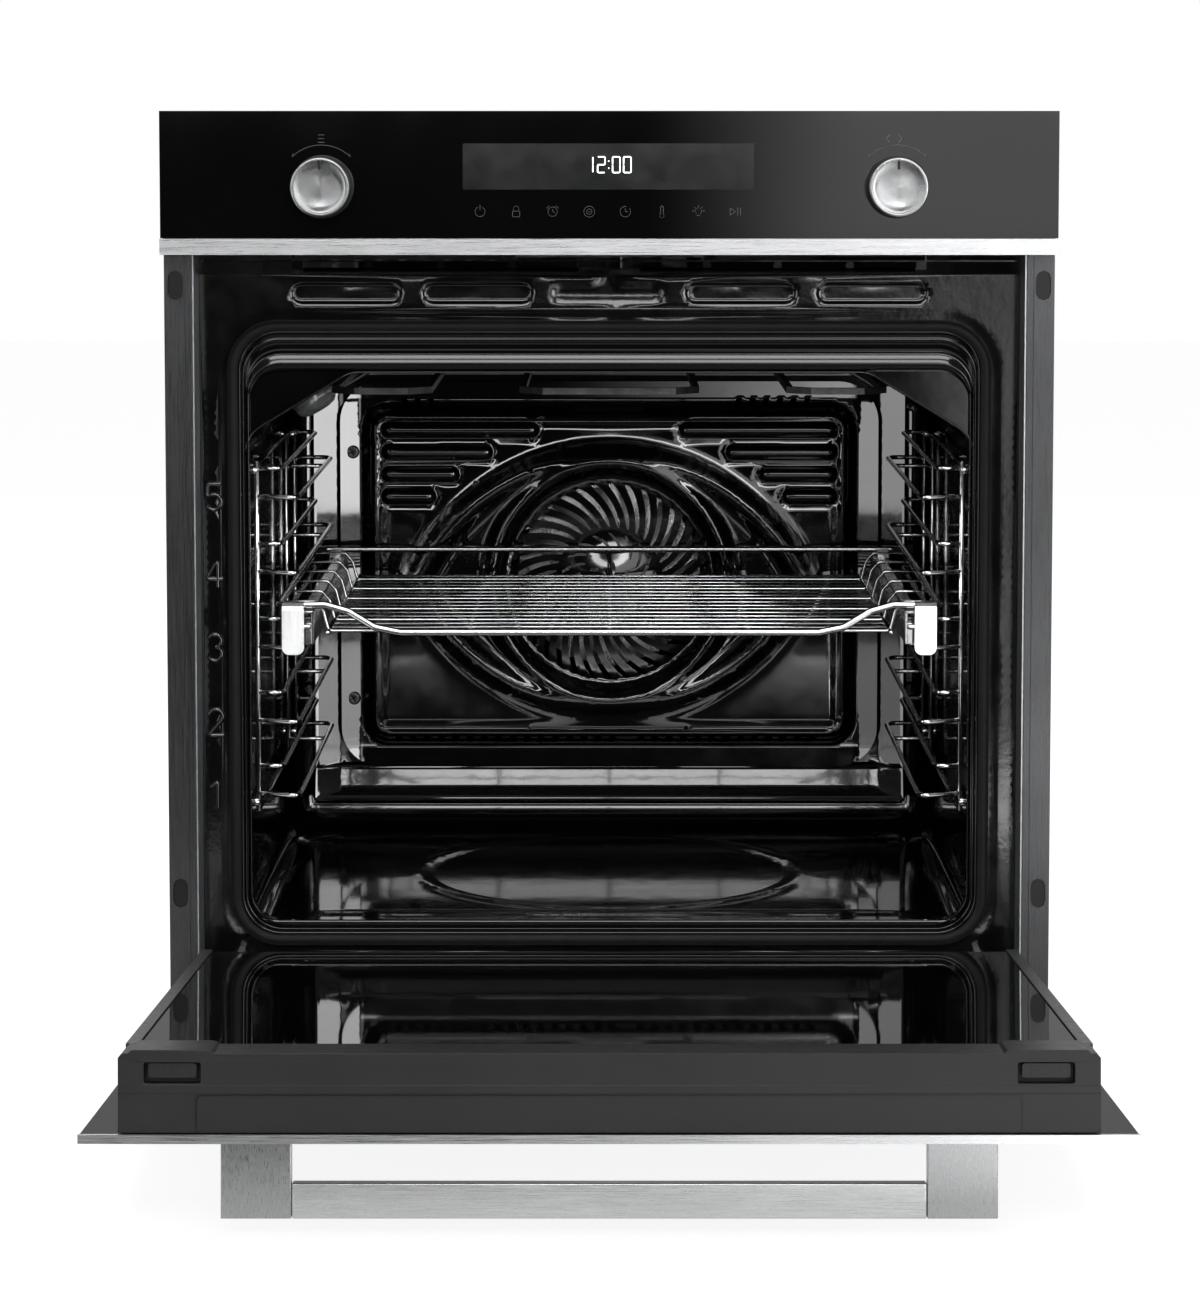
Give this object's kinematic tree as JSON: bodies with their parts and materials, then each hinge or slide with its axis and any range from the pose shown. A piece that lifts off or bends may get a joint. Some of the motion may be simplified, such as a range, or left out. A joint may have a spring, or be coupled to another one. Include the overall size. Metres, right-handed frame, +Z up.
{
  "type": "built-in wall oven",
  "caption": "Built-in single oven: black glass panel and drop-down glazed door, enamelled cavity with fan baffle, side racks, telescopic runners and a wire rack.",
  "frame": {"origin": "centre of the housing's flat underside, which stands on the shelf of the cabinet", "axes": "+X to the right seen from the front, +Y into the wall, +Z up; the front faces -Y and the door is stored open"},
  "size_m": [0.596, 1.0258, 0.6288],
  "materials": {
    "black_enamel": "gloss vitreous enamel",
    "black_glass": "polished, dark printed glass",
    "clear_glass": "clear toughened glass",
    "brushed_steel": "fine brushed",
    "chrome_wire": "bright chromed wire",
    "zinc_steel": "galvanised sheet",
    "dark_plastic": "matt moulded",
    "gasket_rubber": "matt woven seal",
    "mineral_wool": "fibrous",
    "circuit_board": "board with parts",
    "ceramic": "glazed ceramic",
    "heater_tube": "oxidised metal tube",
    "motor_body": "varnished windings and laminations"
  },
  "bodies": {
    "cabinet": {"base_pan": "zinc_steel", "left_side_panel": "zinc_steel", "right_side_panel": "zinc_steel", "rear_cover": "zinc_steel", "top_cover": "zinc_steel", "front_frame": "brushed_steel", "front_plate": "black_enamel", "door_gasket": "gasket_rubber", "cavity_liner": "black_enamel", "insulation_blanket": "mineral_wool", "lamp_socket": "ceramic", "lamp_bulb": "clear_glass", "lamp_cover": "clear_glass", "grill_element": "heater_tube", "bottom_element": "heater_tube", "ring_element": "heater_tube", "fan_motor": "motor_body", "fan_baffle": "black_enamel", "baffle_screw_1": "brushed_steel", "baffle_screw_2": "brushed_steel", "baffle_screw_3": "brushed_steel", "right_shelf_support": "chrome_wire", "left_shelf_support": "chrome_wire", "right_runner_rail": "chrome_wire", "left_runner_rail": "chrome_wire", "control_panel_glass": "black_glass", "control_panel_trim": "brushed_steel", "panel_carrier": "dark_plastic", "display_module": "circuit_board", "left_encoder": "zinc_steel", "right_encoder": "zinc_steel", "air_duct": "black_enamel", "blower_housing": "zinc_steel", "blower_motor": "motor_body", "power_board": "circuit_board", "terminal_box": "dark_plastic", "right_hinge_bracket": "zinc_steel", "left_hinge_bracket": "zinc_steel"},
    "door": {"door_outer_glass": "black_glass", "door_edge_strip": "brushed_steel", "door_middle_glass": "clear_glass", "door_inner_glass": "black_glass", "door_right_column": "dark_plastic", "door_left_column": "dark_plastic", "door_bottom_rail": "zinc_steel", "door_top_cap": "dark_plastic", "door_handle": "brushed_steel", "right_hinge_arm": "zinc_steel", "left_hinge_arm": "zinc_steel"},
    "rack": {"wire_rack": "chrome_wire", "left_runner_carrier": "chrome_wire", "right_runner_carrier": "chrome_wire"},
    "left_runner_middle": {"left_runner_mid": "chrome_wire"},
    "right_runner_middle": {"right_runner_mid": "chrome_wire"},
    "function_knob": {"function_knob": "brushed_steel"},
    "selector_knob": {"selector_knob": "brushed_steel"},
    "hot_air_fan": {"convection_fan": "brushed_steel"},
    "cooling_blower": {"blower_wheel": "zinc_steel"},
    "left_release": {"left_release_tab": "dark_plastic"},
    "right_release": {"right_release_tab": "dark_plastic"}
  },
  "joints": [
    {"name": "door_hinge", "type": "hinge", "parent": "cabinet", "child": "door", "pos_m": [0, -0.2645, 0.004], "axis": [1, 0, 0], "range_deg": [-85.5, 0]},
    {"name": "rack_slide", "type": "slide", "parent": "cabinet", "child": "rack", "axis": [0, -1, 0], "range_m": [0, 0.32]},
    {"name": "left_middle_slide", "type": "slide", "parent": "cabinet", "child": "left_runner_middle", "axis": [0, -1, 0], "range_m": [0, 0.16]},
    {"name": "right_middle_slide", "type": "slide", "parent": "cabinet", "child": "right_runner_middle", "axis": [0, -1, 0], "range_m": [0, 0.16]},
    {"name": "function_knob_turn", "type": "hinge", "parent": "cabinet", "child": "function_knob", "pos_m": [-0.19, -0.3025, 0.54], "axis": [0, 1, 0], "continuous": true},
    {"name": "selector_knob_turn", "type": "hinge", "parent": "cabinet", "child": "selector_knob", "pos_m": [0.19, -0.3025, 0.54], "axis": [0, 1, 0], "continuous": true},
    {"name": "hot_air_fan_spin", "type": "hinge", "parent": "cabinet", "child": "hot_air_fan", "pos_m": [0, 0.1875, 0.228], "axis": [0, 1, 0], "continuous": true},
    {"name": "cooling_blower_spin", "type": "hinge", "parent": "cabinet", "child": "cooling_blower", "pos_m": [0, 0.1275, 0.487], "axis": [0, 0, 1], "continuous": true},
    {"name": "left_release_press", "type": "slide", "parent": "door", "child": "left_release", "axis": [0, 0.9969, -0.0785], "range_m": [0, 0.003], "stiffness_N_per_m": 300, "springref_m": -0.002},
    {"name": "right_release_press", "type": "slide", "parent": "door", "child": "right_release", "axis": [0, 0.9969, -0.0785], "range_m": [0, 0.003], "stiffness_N_per_m": 300, "springref_m": -0.002}
  ],
  "couplings": [
    {"joint": "left_middle_slide", "follows": "rack_slide", "ratio": 0.5},
    {"joint": "right_middle_slide", "follows": "rack_slide", "ratio": 0.5}
  ]
}
